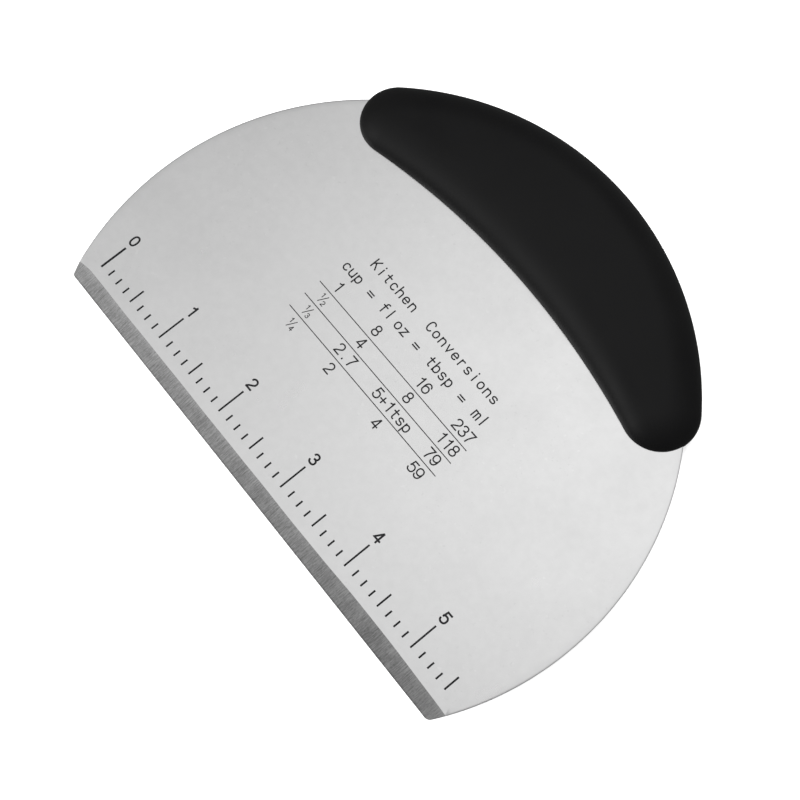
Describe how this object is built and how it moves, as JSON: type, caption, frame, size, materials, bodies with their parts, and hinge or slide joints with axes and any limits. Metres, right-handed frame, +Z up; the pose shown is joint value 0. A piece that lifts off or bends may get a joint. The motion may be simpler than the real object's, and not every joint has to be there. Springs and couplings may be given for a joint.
{
  "type": "bench scraper",
  "caption": "Round steel bench scraper with a straight ground edge, a printed ruler scale and a soft crescent handle moulded over a riveted core.",
  "frame": {"origin": "bottom centre of the whole tool's box, on the bench it lies on", "axes": "+X along the cutting edge, the way the ruler's numbers rise; +Y from the cutting edge towards the handle; +Z up from the bench, the printed side facing up. The blade leans 3.95 degrees about X, because the tool rests on its cutting edge and the belly of its handle"},
  "size_m": [0.1638, 0.1238, 0.0158],
  "materials": {
    "steel": "fine satin stainless steel, bevel ground across the edge",
    "core_plastic": "moulded, dark grey",
    "soft_black": "smooth matte black",
    "rivet_steel": "plain drawn stainless steel",
    "marking": "dark grey print on the steel"
  },
  "bodies": {
    "root": {"blade": "steel", "core_front": "core_plastic", "core_back": "core_plastic", "soft_grip": "soft_black", "rivet_post_1": "rivet_steel", "rivet_post_2": "rivet_steel", "rivet_post_3": "rivet_steel", "rivet_sleeve_1": "rivet_steel", "rivet_sleeve_2": "rivet_steel", "rivet_sleeve_3": "rivet_steel"}
  },
  "joints": []
}
